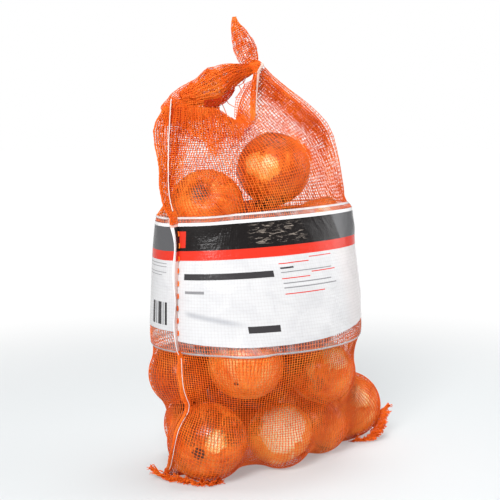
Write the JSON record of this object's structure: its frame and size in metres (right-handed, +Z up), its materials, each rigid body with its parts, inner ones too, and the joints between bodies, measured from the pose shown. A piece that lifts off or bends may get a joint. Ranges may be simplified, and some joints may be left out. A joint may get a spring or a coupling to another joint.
{
  "type": "net of onions",
  "caption": "Knitted net full of large onions, standing on its end, with a printed film band, a sewn side seam and a tied carry handle.",
  "frame": {"origin": "middle of the outer box in plan, on the surface that the net stands on", "axes": "+Z up along the height of the net; +X to the right, away from the sewn side seam; -Y is the printed front that faces the viewer"},
  "size_m": [0.4038, 0.231, 0.6108],
  "materials": {
    "net": "knitted plastic yarn",
    "film": "printed clear film",
    "string": "soft white yarn",
    "onion_skin": "dry papery skin with a silk gloss"
  },
  "bodies": {
    "root": {"net_bag": "net", "film_band": "film", "side_seam": "net", "handle_roll": "net", "handle_knot": "net", "handle_ear": "net", "neck_fold": "net", "tie_string": "string", "hem_left": "net", "hem_right": "net"}
  },
  "joints": []
}
